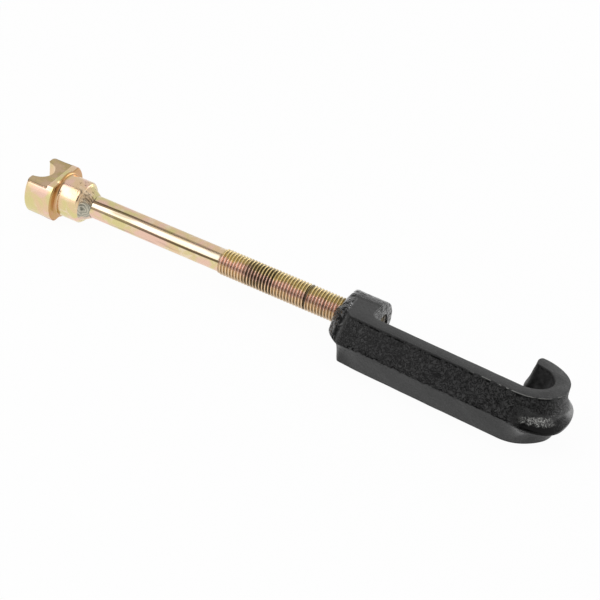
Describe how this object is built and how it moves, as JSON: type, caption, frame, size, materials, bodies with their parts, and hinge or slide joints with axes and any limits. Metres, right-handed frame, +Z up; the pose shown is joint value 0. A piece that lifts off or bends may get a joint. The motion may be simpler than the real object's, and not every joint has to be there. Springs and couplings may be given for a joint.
{
  "type": "ball joint separator",
  "caption": "Forcing screw with a forked, flatted saddle head, threaded through the boss of a J-shaped hook, for pressing a ball joint apart.",
  "frame": {"origin": "on the floor under the middle of the tool's box, lying on the hook's flat face", "axes": "+X along the screw from the saddle head to the hook, +Y from the arm's front to the hook's open side, +Z up through the hook's thickness"},
  "size_m": [0.351, 0.0592, 0.0297],
  "materials": {
    "black_enamel": "glossy black enamel over a rough forged skin",
    "yellow_zinc_rod": "yellow zinc plating, smooth shank, dirty thread",
    "yellow_zinc_head": "yellow zinc plating over turned and milled faces",
    "plated_weld": "rippled weld, thinly plated"
  },
  "bodies": {
    "hook": {"hook": "black_enamel"},
    "carrier": {"weld_bead": "plated_weld"},
    "spindle": {"screw_rod": "yellow_zinc_rod", "saddle_head": "yellow_zinc_head"}
  },
  "joints": [
    {"name": "screw_travel", "type": "slide", "parent": "hook", "child": "carrier", "axis": [1, 0, 0], "range_m": [-0.008, 0.075]},
    {"name": "screw_turn", "type": "hinge", "parent": "carrier", "child": "spindle", "pos_m": [0.03136, 0.01146, 0.01485], "axis": [1, 0, 0], "range_deg": [-1440, 13500]}
  ],
  "couplings": [
    {"joint": "screw_travel", "follows": "screw_turn", "m_per_rad": 0.0003183}
  ]
}
